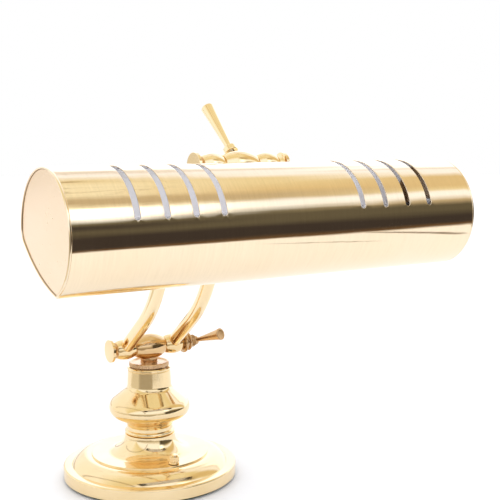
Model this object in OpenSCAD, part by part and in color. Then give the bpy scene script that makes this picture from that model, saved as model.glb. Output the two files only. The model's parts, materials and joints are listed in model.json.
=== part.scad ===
/* [Shade] */
// Length of the shade over its end caps
shade_len = 356; // [340:1:380]
// Outside radius of the rolled shade
shade_r = 45; // [44.6:0.1:45.2]
// Thickness of the rolled brass sheet
sheet_t = 0.8; // [0.6:0.1:1]
// Angle of the front lip around the shade, counted from the back over the top
front_lip = 250; // [248:1:254]
// Angle of the back lip around the shade
back_lip = -6; // [-8:1:-4]
// Width of one cooling slot
slot_w = 4.8; // [4:0.1:6]
// Distance from the middle to the first slot
slot_first = 61.75; // [58:0.25:66]
// Pitch of the slots
slot_pitch = 22.35; // [20:0.05:24]
// Slots at each end of the shade
slot_count = 4; // [2:1:4]
// Angle of the slots' front ends
slot_front = 164; // [163.5:0.5:164]
// Angle of the slots' top ends
slot_top = 78; // [74:1:90]

/* [Lamps] */
// Diameter of the tubular lamps
lamp_d = 25; // [22:1:28]
// Distance from the middle to each lamp's tip
lamp_gap = 22; // [14:1:40]
// Outside diameter of the lampholders
holder_d = 27; // [25:1:30]

/* [Arms] */
// Outside diameter of the arm tubes
arm_d = 12.7; // [12:0.1:13]
// Wall thickness of the arm tubes
arm_wall = 1.2; // [1:0.1:1.6]
// Length of the straight stretch at each end of an arm
arm_end = 51; // [46:1:54]
// Bend radius of the arms
arm_bend_r = 110; // [100:1:120]
// Angle of each bend
arm_bend = 22.3; // [21:0.1:23]
// Half the length of the straight stretch in the middle
arm_mid = 29; // [28:1:34]
// Slope of the arms where they leave the pivot bars
arm_slope = 38.2; // [38:0.1:40]

/* [Pivot bars] */
// Diameter of the pivot bolts
bolt_d = 8; // [7.8:0.1:8.2]
// Diameter of the round heads on the bolts
head_d = 21.4; // [20:0.1:21.4]
// Largest diameter of the knuckles
knuckle_d = 19.5; // [19:0.1:19.6]
// Width of a knuckle
knuckle_w = 19; // [18:0.1:19.4]
// Largest diameter of the middle boss on the upper bar
boss_d = 23; // [22:0.1:23.2]
// Largest diameter of the middle boss on the lower bar
lower_boss_d = 25; // [23:0.1:26]
// Width of a middle boss
boss_w = 30.4; // [30:0.1:31]
// Running clearance on the radius
fit = 0.05; // [0.03:0.01:0.08]

/* [Clamp levers] */
// Length of the lower lever from the bar's axis to its tip
lower_lever_len = 34.5; // [28:0.5:36]
// Length of the upper lever from its collar to its tip
upper_lever_len = 48; // [40:0.5:52]
// Tip diameter of both levers
lever_tip_d = 11.6; // [10:0.1:12]
// Slope of the upper lever above the horizontal
upper_lever_slope = 43; // [41:1:45]

/* [Base] */
// Height of the lower pivot bar above the table
bar_z = 126.5; // [124:0.5:130]
// Outside diameter of the foot
foot_d = 166; // [162:1:180]
// Height of the foot up to the column
foot_h = 42.5; // [42:0.5:43]
// Largest diameter of the column's bulge
bulge_d = 77.6; // [76:0.2:80]
// Outside diameter of the column's neck
neck_d = 42.4; // [41:0.1:43]
// Outside diameter of the knurled lock ring
ring_d = 38; // [37:0.5:39]
// Thickness of the spun brass
spun_t = 1.4; // [1.2:0.1:1.6]
// Diameter of the cord inlet's bore
inlet_d = 5.2; // [5:0.1:5.6]

/* [Hidden] */
$fn = 64;

brass = [0.86, 0.68, 0.32];
satin_brass = [0.85, 0.68, 0.45];
dull_brass = [0.70, 0.52, 0.28];
steel = [0.62, 0.62, 0.64];
iron = [0.25, 0.25, 0.27];
enamel = [0.94, 0.94, 0.93];
black = [0.08, 0.08, 0.09];
snug = 0.02;

// The arms leave the lower pivot forwards (-y) and up, and the way up is symmetrical about its middle.
function heading(a) = [-cos(a), sin(a)];
function turn(a0, a1, r) = r * [sin(a0) - sin(a1), cos(a0) - cos(a1)];
arm_steep = arm_slope + arm_bend;
bend_step = turn(arm_slope, arm_steep, arm_bend_r);
arm_1 = arm_end * heading(arm_slope);
arm_2 = arm_1 + bend_step;
arm_3 = arm_2 + 2 * arm_mid * heading(arm_steep);
arm_4 = arm_3 + bend_step;
arm_5 = arm_4 + arm_1;
top_y = arm_5[0];
top_z = bar_z + arm_5[1];

// The shade hangs in front of and below the upper pivot.
drop_y = -37.9;
drop_z = -41.6;
drop = norm([drop_y, drop_z]);
drop_turn = atan2(-drop_y, drop_z);

// End caps: the shade's circle, a round back corner and a long shallow curve to the front lip
cap_x = shade_len / 2;
cap_t = 2;
cap_plate = 1;
cap_lip = 245.5;
corner_r = 14;
corner_end = -41;
sole_r = 125;
bead = 0.7;
flange_w = 8;
liner_t = 0.6;
liner_r = shade_r - sheet_t - 0.05;

// Along each pivot bar
bolt_r = bolt_d / 2;
run_r = bolt_r + fit;
boss_half = boss_w / 2;
washer_t = 0.6;
knuckle_in = boss_half + washer_t;
knuckle_x = knuckle_in + knuckle_w / 2;
knuckle_out = knuckle_in + knuckle_w;
head_in = knuckle_out + washer_t;
head_face = 41.4;
head_edge = 2.4;
nut_in = head_in + 0.25;
nut_flange = 43.5;
knurl_end = 49.1;
dome_x = 50.3;
lower_bolt_end = 47.5;
upper_bolt_end = 41;
dome_r = 4.6;

// Heights in the base
pad_t = 2.5;
foot_r = foot_d / 2;
rim_bend = 2;
rim_top = 14;
band_z = 24.5;
cove_r = foot_h - band_z;
cove_x = 42;
pocket_z = 22;
inlet_z = (pad_t + rim_top) / 2;
bushing_r = 3.6;
bushing_in = 8;
lead_gap = 4;
switch_y = -49;
waist_r = 22;
waist_z = foot_h + 6.5;
waist_bend = 7;
waist_turn = 60;
bulge_tube = 10;
bulge_cr = bulge_d / 2 - bulge_tube;
bulge_z = bar_z - 58.1;
shoulder_z = bar_z - 36;
shoulder_turn = 52;
neck_top = bar_z - 19.1;
ring_low = neck_top + 0.6;
ring_top = neck_top + 4.9;
stem_r = 8;
collar_r = 11;
spigot_r = 15;
rod_r = 5;
wire_bore = 3.6;
lead_r = 2.2;
lead_bend = 6.5;

// ---- shared shapes ----
function arc(c, r, a0, a1, n) =
  [for (i = [0:n]) let (a = a0 + (a1 - a0) * i / n) c + r * [cos(a), sin(a)]];

// Lays something that stands along z down along +x; y stays.
module along_x() rotate([0, 90, 0]) children();

// Extrudes an outline drawn in (y, z) along x, from x0 to x1.
module slab_x(x0, x1)
  translate([x0, 0, 0]) rotate([90, 0, 90]) linear_extrude(x1 - x0) children();

module at_lower_bar() translate([0, 0, bar_z]) children();
module at_upper_bar() translate([0, top_y, top_z]) children();
module at_shade() translate([0, top_y + drop_y, top_z + drop_z]) children();

// From the upper pivot, local +z points to the shade's centre.
module to_shade() rotate([drop_turn, 0, 0]) children();

module tube(r_out, r_in, z0, z1)
  translate([0, 0, z0]) difference() {
    cylinder(r = r_out, h = z1 - z0);
    translate([0, 0, -1]) cylinder(r = r_in, h = z1 - z0 + 2);
  }

// A knurled band about z
module knurl(r, depth, teeth, z0, z1)
  translate([0, 0, z0]) linear_extrude(z1 - z0) polygon(
    [for (i = [0:2 * teeth - 1]) (r - (i % 2) * depth) * [cos(180 * i / teeth), sin(180 * i / teeth)]]);

// A barrel about z, centred on the origin, full in the middle and narrower at its ends
module barrel(w, d_mid, d_end) {
  sag = (d_mid - d_end) / 2;
  side_r = (w * w / 4 + sag * sag) / (2 * sag);
  rotate_extrude() intersection() {
    translate([d_mid / 2 - side_r, 0]) circle(r = side_r);
    translate([0, -w / 2]) square([d_mid, w]);
  }
}
module knuckle_form(x, grow = 0)
  translate([x, 0, 0]) along_x() barrel(knuckle_w + 2 * grow, knuckle_d + 2 * grow, 15 + 2 * grow);
module boss_form(d, grow = 0) along_x() barrel(boss_w, d + 2 * grow, 16 + 2 * grow);
module bar_bore(r) along_x() translate([0, 0, -60]) cylinder(r = r, h = 120);

// A barrel on the bar with a short neck for the arm's tube; way is 1 up the arm, -1 down it
module knuckle(x, way) difference() {
  union() {
    knuckle_form(x);
    translate([x, 0, 0]) rotate([90 - arm_slope + (way > 0 ? 0 : 180), 0, 0])
      cylinder(r = arm_d / 2, h = neck_out);
  }
  bar_bore(bolt_r + snug);
}

// Two washers at the boss and two outside the knuckles
module washers(r)
  for (side = [0, 1]) mirror([side, 0, 0]) along_x() {
    tube(r, bolt_r + snug, boss_half + snug, knuckle_in - snug);
    tube(r, bolt_r + snug, knuckle_out + snug, head_in - snug);
  }

// A pivot bolt with a trumpet head at its left end
module pivot_bolt(x_end) {
  flare = head_face - head_edge - head_in;
  mirror([1, 0, 0]) along_x() rotate_extrude() polygon(concat(
    [[0, head_in], [bolt_r, head_in]],
    arc([bolt_r + flare, head_in], flare, 180, 90, 12),
    [[head_d / 2, head_in + flare], [head_d / 2, head_face - 0.4],
     [head_d / 2 - 0.4, head_face], [0, head_face]]));
  along_x() translate([0, 0, -head_in - 1]) cylinder(r = bolt_r, h = x_end + head_in + 1);
}

// A tapered lever about z: thin at its root, with a softened rim at its tip
module taper(r_root, r_tip, z0, z1)
  rotate_extrude() polygon([
    [0, z0], [r_root, z0],
    for (i = [0:8]) let (t = i / 8)
      [r_root + (r_tip - r_root) * (0.75 * t + 0.25 * t * t), z0 + (z1 - z0 - 0.8) * t],
    [r_tip - 0.5, z1 - 0.1], [r_tip - 1.2, z1], [0, z1 - 0.4]]);

// ---- base ----
function foot_points(inset) = concat(
  arc([foot_r - rim_bend, pad_t + rim_bend], rim_bend - inset, -90, 0, 6),
  arc([foot_r - rim_bend, rim_top - rim_bend], rim_bend - inset, 0, 90, 6),
  arc([foot_r - 24, 5], 18 - inset, 30, 90, 14),
  [[foot_r - 27 - inset, 23 - inset], [foot_r - 27 - inset, band_z - inset]],
  arc([cove_x, foot_h], cove_r + inset, -90, asin(inset / (cove_r + inset)) - 180, 18),
  [[0, foot_h - inset]]);
function reversed(list) = [for (i = [len(list) - 1:-1:0]) list[i]];

module foot_cover() color(brass) difference() {
  rotate_extrude() polygon(concat(foot_points(0), reversed(foot_points(spun_t))));
  translate([0, 0, foot_h - 10]) cylinder(r = rod_r + 0.2, h = 20);
  translate([0, foot_r - 15, inlet_z]) rotate([-90, 0, 0]) cylinder(r = bushing_r + snug, h = 30);
  translate([0, switch_y, band_z - 5]) cylinder(r = 4.6, h = 10);
}

module base_pad() color(black) cylinder(r = foot_r - 4, h = pad_t);

// The cast weight fills the foot; a pocket takes the tie nut, a channel the lead and a hole the switch.
module foot_weight() color(iron) difference() {
  rotate_extrude() polygon([[0, pad_t], [foot_r - 13, pad_t], [foot_r - 13, 14.5],
    [foot_r - 23, 20.5], [waist_r, 20.5], [waist_r, foot_h - spun_t], [0, foot_h - spun_t]]);
  cylinder(r = 18, h = pocket_z);
  cylinder(r = rod_r + 0.2, h = foot_h);
  translate([-3.2, 0, 0]) cube([6.4, foot_r, inlet_z + 3.5]);
  translate([0, switch_y, 8]) cylinder(r = 12.2, h = 20);
}

// The hollow tie rod clamps the weight, foot and column to the swivel bush.
module tie_rod() color(steel) tube(rod_r, wire_bore, pocket_z - 6.5, neck_top - 4);
module tie_washer() color(steel) tube(13, rod_r + snug, pocket_z - 1.5, pocket_z - snug);
module tie_nut() color(steel) difference() {
  translate([0, 0, pocket_z - 6]) cylinder(r = 9.2, h = 4.5 - snug, $fn = 6);
  cylinder(r = rod_r + snug, h = foot_h);
}

module column_outline(shift = 0)
  translate([-shift, 0]) polygon(concat(
    [[0, foot_h]],
    arc([waist_r - 0.2, foot_h + 2.2], 2.2, -90, 90, 12),
    [[waist_r, foot_h + 4.6]],
    arc([waist_r + waist_bend, waist_z], waist_bend, 180, 180 - waist_turn, 10),
    arc([bulge_cr, bulge_z], bulge_tube, -waist_turn, shoulder_turn, 24),
    arc([neck_d / 2 + waist_bend, shoulder_z], waist_bend, 180 + shoulder_turn, 180, 10),
    [[neck_d / 2 - 0.9, neck_top - 1]],
    arc([neck_d / 2 - 1.9, neck_top - 1], 1, 0, 90, 4),
    [[0, neck_top]]));

module column() color(brass) rotate_extrude() {
  difference() {
    column_outline();
    column_outline(spun_t);
  }
  translate([spigot_r + snug, neck_top - 2]) square([neck_d / 2 - spigot_r - 2, 2]);
}

// The bush hangs from the column's top plate; the lock ring screws on its spigot.
module swivel_bush() color(dull_brass) difference() {
  union() {
    translate([0, 0, neck_top - 12]) cylinder(r = 17, h = 10 - snug);
    translate([0, 0, neck_top - 3]) cylinder(r = spigot_r, h = 6.4);
  }
  translate([0, 0, neck_top - 20]) cylinder(r = rod_r + snug, h = 16 + snug);
  cylinder(r = wire_bore, h = neck_top + 10);
  translate([0, 0, ring_low]) cylinder(r = collar_r + fit, h = 10);
}

module cord_bushing() color(black) translate([0, foot_r, inlet_z]) rotate([-90, 0, 0]) difference() {
  union() {
    translate([0, 0, -bushing_in]) cylinder(r = bushing_r, h = bushing_in + 1);
    translate([0, 0, 0.02]) cylinder(r1 = 5.6, r2 = 4.8, h = 2.4);
    translate([0, 0, -spun_t - 2]) cylinder(r = 4.2, h = 1.7);
  }
  translate([0, 0, -20]) cylinder(r = inlet_d / 2, h = 40);
}

// The mains lead inside the base: along the weight's channel, then up the tie rod
module base_lead() color(black) {
  translate([0, lead_bend, inlet_z]) rotate([-90, 0, 0])
    cylinder(r = lead_r, h = foot_r - bushing_in - lead_gap - lead_bend);
  translate([0, lead_bend, inlet_z + lead_bend]) rotate([90, 0, 90]) rotate([0, 0, 180])
    rotate_extrude(angle = 90) translate([lead_bend, 0]) circle(r = lead_r);
  translate([0, 0, inlet_z + lead_bend]) cylinder(r = lead_r, h = neck_top - 2 - inlet_z - lead_bend);
}

module switch_body() color(black) translate([0, switch_y, 0]) difference() {
  union() {
    translate([0, 0, 9]) cylinder(r = 11, h = 12);
    translate([0, 0, 20.5]) cylinder(r = 4.4, h = band_z - 20.7);
  }
  translate([0, 0, 14]) cylinder(r = 3 + fit, h = 20);
}

module switch_knob() color(brass) translate([0, switch_y, 0]) {
  translate([0, 0, 15]) cylinder(r = 3, h = 12);
  translate([0, 0, band_z + 0.4]) rotate_extrude() polygon(concat(
    [[0, 0], [5, 0], [5, 1.2], [4.4, 1.6], [4.4, 6.8]], arc([3.2, 7.2], 1.2, 0, 90, 5), [[0, 8.4]]));
  knurl(4.9, 0.4, 24, band_z + 2.4, band_z + 6.8);
}

// ---- swivel ----
module lock_ring() color(dull_brass) difference() {
  union() {
    rotate_extrude() polygon([[0, ring_low], [ring_d / 2 - 1.2, ring_low], [ring_d / 2 - 0.5, ring_low + 0.7],
      [ring_d / 2 - 0.5, ring_top - 0.7], [ring_d / 2 - 1.2, ring_top], [0, ring_top]]);
    knurl(ring_d / 2, 0.45, 90, ring_low + 0.7, ring_top - 0.7);
  }
  translate([0, 0, neck_top - 1]) cylinder(r = spigot_r + fit, h = ring_top - neck_top - 0.2);
  cylinder(r = stem_r + 0.35, h = ring_top + 10);
}

module swivel_stem() color(dull_brass) difference() {
  union() {
    translate([0, 0, ring_low + 0.3]) cylinder(r = collar_r, h = 2.5);
    translate([0, 0, ring_low + 1]) cylinder(r = stem_r, h = bar_z - 9 - ring_low);
  }
  cylinder(r = wire_bore, h = bar_z);
  at_lower_bar() boss_form(lower_boss_d, snug);
}

module lower_boss() color(brass) at_lower_bar() difference() {
  boss_form(lower_boss_d);
  bar_bore(run_r);
  translate([0, 0, -20]) cylinder(r = 3, h = 20);
}

// ---- arms and their two bars ----
module lower_bolt() color(brass) at_lower_bar() pivot_bolt(lower_bolt_end);
module lower_washers() color(dull_brass) at_lower_bar() washers(7.2);
module lower_knuckle_left() color(brass) at_lower_bar() knuckle(-knuckle_x, 1);
module lower_knuckle_right() color(brass) at_lower_bar() knuckle(knuckle_x, 1);

// Stations up an arm's centreline, each a place and a heading, with trim left off each end
bend_steps = 10;
function stations(trim) = concat(
  [[trim * heading(arm_slope), arm_slope]],
  [for (i = [0:bend_steps]) let (a = arm_slope + arm_bend * i / bend_steps)
    [arm_1 + turn(arm_slope, a, arm_bend_r), a]],
  [for (i = [0:bend_steps]) let (a = arm_steep - arm_bend * i / bend_steps)
    [arm_3 + turn(a, arm_steep, arm_bend_r), a]],
  [[arm_5 - trim * heading(arm_slope), arm_slope]]);
function hoop(s, r, n) = [for (i = [0:n - 1]) let (t = 360 * i / n)
  [r * cos(t), s[0][0] + r * sin(t) * sin(s[1]), s[0][1] + r * sin(t) * cos(s[1])]];

// A tube swept through the stations
module arm_run(r_out, r_in, trim, n) {
  path = stations(trim);
  last = len(path) - 1;
  inner = (last + 1) * n;
  function wall(base, flip) = [for (k = [0:last - 1]) for (i = [0:n - 1])
    let (a = base + k * n + i, b = base + k * n + (i + 1) % n)
    flip ? [a, b, b + n, a + n] : [a, a + n, b + n, b]];
  function lid(k, flip) = [for (i = [0:n - 1]) let (a = k * n + i, b = k * n + (i + 1) % n)
    flip ? [a, a + inner, b + inner, b] : [a, b, b + inner, a + inner]];
  polyhedron(
    points = concat([for (s = path) each hoop(s, r_out, n)], [for (s = path) each hoop(s, r_in, n)]),
    faces = concat(wall(0, false), wall(inner, true), lid(0, false), lid(last, true)));
}

// A wire swept along a route of points, with its rings carried along without twist
function unit(v) = v / norm(v);
module wire(route, r, n) {
  last = len(route) - 1;
  function way(k) = unit(route[k + 1] - route[k]);
  function aim(k) = k == 0 ? way(0) : k == last ? way(last - 1) : unit(way(k) + way(k - 1));
  function side(k) = k == 0 ? unit(cross(aim(0), [1, 0, 0]))
    : let (s = side(k - 1), t = aim(k)) unit(s - (s * t) * t);
  function ring(k) = let (u = side(k), v = cross(aim(k), u))
    [for (i = [0:n - 1]) let (a = 360 * i / n) route[k] + r * (cos(a) * u + sin(a) * v)];
  polyhedron(
    points = [for (k = [0:last]) each ring(k)],
    faces = concat(
      [for (k = [0:last - 1]) for (i = [0:n - 1])
        let (a = k * n + i, b = k * n + (i + 1) % n) [a, a + n, b + n, b]],
      [[for (i = [0:n - 1]) i]], [[for (i = [n - 1:-1:0]) last * n + i]]));
}

// The tube ends stand on short necks on the knuckles.
neck_out = 11;
module arm(x) at_lower_bar() translate([x, 0, 0])
  arm_run(arm_d / 2, arm_d / 2 - arm_wall, neck_out, 32);
module arm_left() color(brass) arm(-knuckle_x);
module arm_right() color(brass) arm(knuckle_x);
module arm_lead() color(black) at_lower_bar() translate([-knuckle_x, 0, 0])
  wire([for (s = stations(neck_out + 1)) [0, s[0][0], s[0][1]]], lead_r, 10);

module upper_knuckle_left() color(brass) at_upper_bar() knuckle(-knuckle_x, -1);
module upper_knuckle_right() color(brass) at_upper_bar() knuckle(knuckle_x, -1);
module upper_washers() color(dull_brass) at_upper_bar() washers(7.2);
module upper_bolt() color(brass) at_upper_bar() pivot_bolt(upper_bolt_end);
module upper_end_nut() color(brass) at_upper_bar() along_x() difference() {
  rotate_extrude() polygon(concat([[0, head_in], [5.2, head_in], [5.2, head_in + 1]],
    arc([9.2, head_in + 1], 4, 180, 90, 8), [[9.6, head_in + 5], [9.6, 42.6], [9, 43.4], [0, 43.4]]));
  cylinder(r = bolt_r + snug, h = upper_bolt_end + snug);
}

// ---- lower clamp lever ----
module clamp_nut() color(dull_brass) at_lower_bar() along_x() difference() {
  union() {
    rotate_extrude() polygon(concat(
      [[0, nut_in], [8.6, nut_in]], arc([8.9, nut_in + 1.8], 1.8, -80, 90, 10),
      [[7.2, nut_in + 3.8]], arc([7.6, nut_flange - 1.2], 1.2, -60, 90, 8), [[0, nut_flange]]));
    knurl(5.9, 0.35, 40, nut_flange - 0.5, knurl_end);
    translate([0, 0, dome_x]) sphere(r = dome_r);
  }
  translate([0, 0, nut_in - 1]) cylinder(r = run_r, h = lower_bolt_end + 0.4 - nut_in + 1);
}

clamp_rise = 18.8;
clamp_splay = 20;
module clamp_handle() color(dull_brass) at_lower_bar() difference() {
  translate([dome_x, 0, 0]) rotate([90 - clamp_rise, 0, 0]) rotate([0, clamp_splay, 0])
    taper(2, lever_tip_d / 2, 3.5, lower_lever_len);
  translate([dome_x, 0, 0]) sphere(r = dome_r + snug);
}

// ---- upper clamp lever: a thumbscrew in the boss ----
collar_in = 14.3;
collar_out = 19.7;
screw_r = 3;
screw_in = bolt_r + 0.3;
screw_out = collar_out - 1.4;
module at_lever() at_upper_bar() rotate([upper_lever_slope - 90, 0, 0]) children();
module upper_screw() color(steel) at_lever()
  translate([0, 0, screw_in]) cylinder(r = screw_r, h = screw_out - screw_in);
module upper_handle() color(brass) at_lever() difference() {
  union() {
    rotate_extrude() polygon(concat([[0, collar_in]], arc([4.9, collar_in + 0.9], 0.9, -90, 0, 4),
      arc([4.9, collar_out - 0.9], 0.9, 0, 90, 4), [[0, collar_out]]));
    taper(2.7, lever_tip_d / 2 - 0.3, collar_out - 0.5, collar_out + upper_lever_len);
  }
  cylinder(r = screw_r + snug, h = screw_out + snug);
}

// ---- shade ----
module upper_boss() color(brass) at_upper_bar() difference() {
  union() {
    boss_form(boss_d);
    to_shade() translate([-12, -7, 7]) cube([24, 14, 8]);
  }
  bar_bore(run_r);
  to_shade() cylinder(r = 3, h = 30);
  to_shade() for (x = [-8, 8]) translate([x, 0, bolt_r + 1.4]) cylinder(r = 1.6 + snug, h = 30);
  to_shade() translate([0, 0, drop]) along_x() translate([0, 0, -40]) cylinder(r = shade_r + snug, h = 80);
  rotate([upper_lever_slope - 90, 0, 0]) cylinder(r = screw_r + fit, h = 30);
}

module boss_screws() color(steel) at_upper_bar() to_shade() for (x = [-8, 8]) translate([x, 0, 0]) {
  translate([0, 0, bolt_r + 1.6]) cylinder(r = 1.6, h = drop - liner_r + liner_t - bolt_r);
  translate([0, 0, drop - liner_r + liner_t + 0.16]) cylinder(r1 = 3.4, r2 = 2.6, h = 1.8);
}

// Screw and wire holes where the boss sits on the shade, as seen from the shade's centre
module boss_holes(r) translate([0, -drop_y, -drop_z]) to_shade() translate([0, 0, 8]) {
  for (x = [-8, 8]) translate([x, 0, 0]) cylinder(r = r, h = 8);
  cylinder(r = 3, h = 8);
}

// The part of a ring round the shade's axis between two angles, as an outline in (y, z)
module ring_part(r_out, r_in, a0, a1) difference() {
  circle(r = r_out);
  circle(r = r_in);
  polygon(concat([[0, 0]],
    [for (i = [0:6]) let (a = a1 + (360 + a0 - a1) * i / 6) 2 * r_out * [cos(a), sin(a)]]));
}

// One cooling slot: a band round the shade with round ends
module slot(x) {
  translate([x, 0, 0]) rotate([90, 0, 90]) rotate([0, 0, slot_top])
    rotate_extrude(angle = slot_front - slot_top) translate([shade_r - 3, -slot_w / 2]) square([6, slot_w]);
  for (a = [slot_top, slot_front])
    translate([x, 0, 0]) rotate([a - 90, 0, 0]) translate([0, 0, shade_r - 3])
      cylinder(r = slot_w / 2, h = 6);
}

module shade_shell() color(brass) at_shade() difference() {
  slab_x(-cap_x + cap_t, cap_x - cap_t) ring_part(shade_r, shade_r - sheet_t, back_lip, front_lip);
  for (side = [-1, 1]) for (i = [0:slot_count - 1]) slot(side * (slot_first + slot_pitch * i));
  boss_holes(1.7);
}

sole_a = [cos(cap_lip), sin(cap_lip)] * shade_r;
sole_b = [shade_r - corner_r, 0] + corner_r * [cos(corner_end), sin(corner_end)];
sole_mid = (sole_a + sole_b) / 2;
sole_dir = (sole_b - sole_a) / norm(sole_b - sole_a);
sole_c = sole_mid + sqrt(pow(sole_r, 2) - pow(norm(sole_b - sole_a) / 2, 2)) * [-sole_dir[1], sole_dir[0]];
function angle_to(c, p) = atan2(p[1] - c[1], p[0] - c[0]);
module cap_outline() polygon(concat(
  arc([0, 0], shade_r, cap_lip, 0, 90),
  arc([shade_r - corner_r, 0], corner_r, 0, corner_end, 10),
  arc(sole_c, sole_r, angle_to(sole_c, sole_b), angle_to(sole_c, sole_a), 14)));

module end_cap() color(satin_brass) {
  slab_x(cap_x - cap_t, cap_x - cap_t + cap_plate) cap_outline();
  slab_x(cap_x - cap_t, cap_x) difference() {
    cap_outline();
    translate([0.2, -0.4]) scale((shade_r - 1.6) / shade_r) cap_outline();
  }
  slab_x(cap_x - cap_t - flange_w, cap_x - cap_t + 0.5)
    ring_part(liner_r, liner_r - 1, back_lip + 5, front_lip - 5);
}
module end_cap_right() at_shade() end_cap();
module end_cap_left() at_shade() mirror([1, 0, 0]) end_cap();

module reflector() color(enamel) at_shade() difference() {
  slab_x(-cap_x + cap_t + flange_w + 2, cap_x - cap_t - flange_w - 2)
    ring_part(liner_r, liner_r - liner_t, back_lip + 2, slot_top - 6);
  boss_holes(1.8);
}

// ---- lamps ----
lamp_z = -5;
holder_r = holder_d / 2;
bracket_x = 158;
holder_len = 26;
holder_in = bracket_x - holder_len;
module both(side) at_shade() mirror([side, 0, 0]) translate([0, 0, lamp_z]) children();

module holder_bracket(side) color(steel) both(side) difference() {
  union() {
    translate([bracket_x, -13, -13]) cube([1.5, 26, 30]);
    translate([bracket_x, -13, 15.5]) cube([cap_x - cap_t - bracket_x - snug, 26, 1.5]);
    translate([cap_x - cap_t - 1.5 - snug, -13, -8]) cube([1.5, 26, 25]);
  }
  translate([bracket_x - 5, 0, 0]) along_x() cylinder(r = 5 + snug, h = 12);
}
module holder_bracket_left() holder_bracket(1);
module holder_bracket_right() holder_bracket(0);

module lampholder(side) color(black) both(side) along_x() difference() {
  union() {
    translate([0, 0, holder_in]) cylinder(r = holder_r, h = holder_len - snug);
    translate([0, 0, bracket_x - 2]) cylinder(r = 5, h = 7);
    translate([0, 0, bracket_x + 1.5 + snug]) cylinder(r = 8, h = 2.5, $fn = 6);
  }
  translate([0, 0, holder_in - 1]) cylinder(r = 8.6, h = 21);
}
module lampholder_left() lampholder(1);
module lampholder_right() lampholder(0);

// A screw cap, hollow under its glass, and the tubular glass with a round tip
module lamp_cap(side) color(steel) both(side) along_x() difference() {
  union() {
    translate([0, 0, holder_in - 3]) cylinder(r = 6.9, h = 20);
    translate([0, 0, holder_in + 17 - snug]) cylinder(r1 = 6, r2 = 2.6, h = 2.4);
  }
  translate([0, 0, holder_in - 4]) cylinder(r = 6, h = 19);
}
module lamp_cap_left() lamp_cap(1);
module lamp_cap_right() lamp_cap(0);

lamp_r = lamp_d / 2;
function glass_points(g) = concat(
  arc([0, lamp_gap + lamp_r], lamp_r - g, -90, 0, 14),
  arc([lamp_r - 5, holder_in - 9], 5 - g, 0, 90, 6),
  [[6.8 - g, holder_in - 4 - g]]);
module lamp_glass(side) color([0.95, 0.95, 0.93]) both(side) along_x() rotate_extrude() {
  polygon(concat(glass_points(0), [[6.8, holder_in - 3 - snug], [5, holder_in - 3 - snug]],
    [for (i = [len(glass_points(0.8)) - 1:-1:0]) glass_points(0.8)[i]]));
}
module lamp_glass_left() lamp_glass(1);
module lamp_glass_right() lamp_glass(0);

// The two wires inside the shade: out of the boss, over the top to the front and along it to each lampholder
wire_r = 1.3;
wire_way = 41.5;
wire_x = bracket_x + 8;
module shade_lead() color(enamel) at_shade() {
  way_out = [0, -drop_y, -drop_z] / drop;
  front = 180 - asin(lamp_z / wire_way);
  route = concat(
    [[wire_r + 0.2, 0, 0] + 50 * way_out, [wire_r + 0.2, 0, 0] + 42 * way_out, [4, 0, 0] + 40 * way_out],
    [for (s = [[14, 66], [19, 80], [20, 95], [20, 110], [20, 125], [20, 140], [20, 155], [20, 170],
      [22, 181], [27, front], [wire_x - 3, front]]) [s[0], wire_way * cos(s[1]), wire_way * sin(s[1])]],
    [[wire_x, wire_way * cos(front) + 3, lamp_z], [wire_x, -3, lamp_z], [wire_x - 2, 0, lamp_z],
      [bracket_x + 5 + snug, 0, lamp_z]]);
  for (side = [-1, 1]) wire([for (p = route) [side * p[0], p[1], p[2]]], wire_r, 8);
}

base_pad();
foot_cover();
foot_weight();
tie_rod();
tie_washer();
tie_nut();
column();
swivel_bush();
cord_bushing();
base_lead();
switch_body();
switch_knob();
lock_ring();
swivel_stem();
lower_boss();
lower_bolt();
lower_washers();
lower_knuckle_left();
lower_knuckle_right();
arm_left();
arm_right();
arm_lead();
upper_knuckle_left();
upper_knuckle_right();
upper_bolt();
upper_end_nut();
upper_washers();
clamp_nut();
clamp_handle();
upper_boss();
boss_screws();
shade_shell();
end_cap_left();
end_cap_right();
reflector();
holder_bracket_left();
holder_bracket_right();
lampholder_left();
lampholder_right();
lamp_cap_left();
lamp_cap_right();
lamp_glass_left();
lamp_glass_right();
shade_lead();
upper_screw();
upper_handle();
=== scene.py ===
"""A polished brass piano lamp in a white studio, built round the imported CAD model."""

import json
import math

import bmesh
import bpy
import numpy as np
from mathutils import Matrix, Vector
from mathutils.geometry import delaunay_2d_cdt


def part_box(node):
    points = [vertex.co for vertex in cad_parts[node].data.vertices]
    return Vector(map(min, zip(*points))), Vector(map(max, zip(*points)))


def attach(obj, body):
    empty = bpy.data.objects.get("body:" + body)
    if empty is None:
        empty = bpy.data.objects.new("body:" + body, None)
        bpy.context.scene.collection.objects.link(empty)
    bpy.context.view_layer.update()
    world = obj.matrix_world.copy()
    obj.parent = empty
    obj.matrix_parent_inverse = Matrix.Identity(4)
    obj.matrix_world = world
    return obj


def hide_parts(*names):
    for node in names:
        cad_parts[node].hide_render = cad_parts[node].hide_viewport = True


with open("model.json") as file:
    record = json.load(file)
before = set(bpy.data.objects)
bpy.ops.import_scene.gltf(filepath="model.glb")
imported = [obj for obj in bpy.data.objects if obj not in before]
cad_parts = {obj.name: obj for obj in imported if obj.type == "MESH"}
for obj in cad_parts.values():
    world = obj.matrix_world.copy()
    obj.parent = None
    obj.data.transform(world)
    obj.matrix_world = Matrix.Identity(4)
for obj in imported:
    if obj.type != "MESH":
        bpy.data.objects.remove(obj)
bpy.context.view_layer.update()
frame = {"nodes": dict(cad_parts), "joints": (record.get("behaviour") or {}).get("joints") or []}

MM = 0.001

# ---- places, from the frame ----
JOINT = {j["name"]: j for j in frame["joints"]}


def middle(node):
    """The middle of a node's box."""
    low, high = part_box(node)
    return (Vector(low) + Vector(high)) / 2


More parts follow.
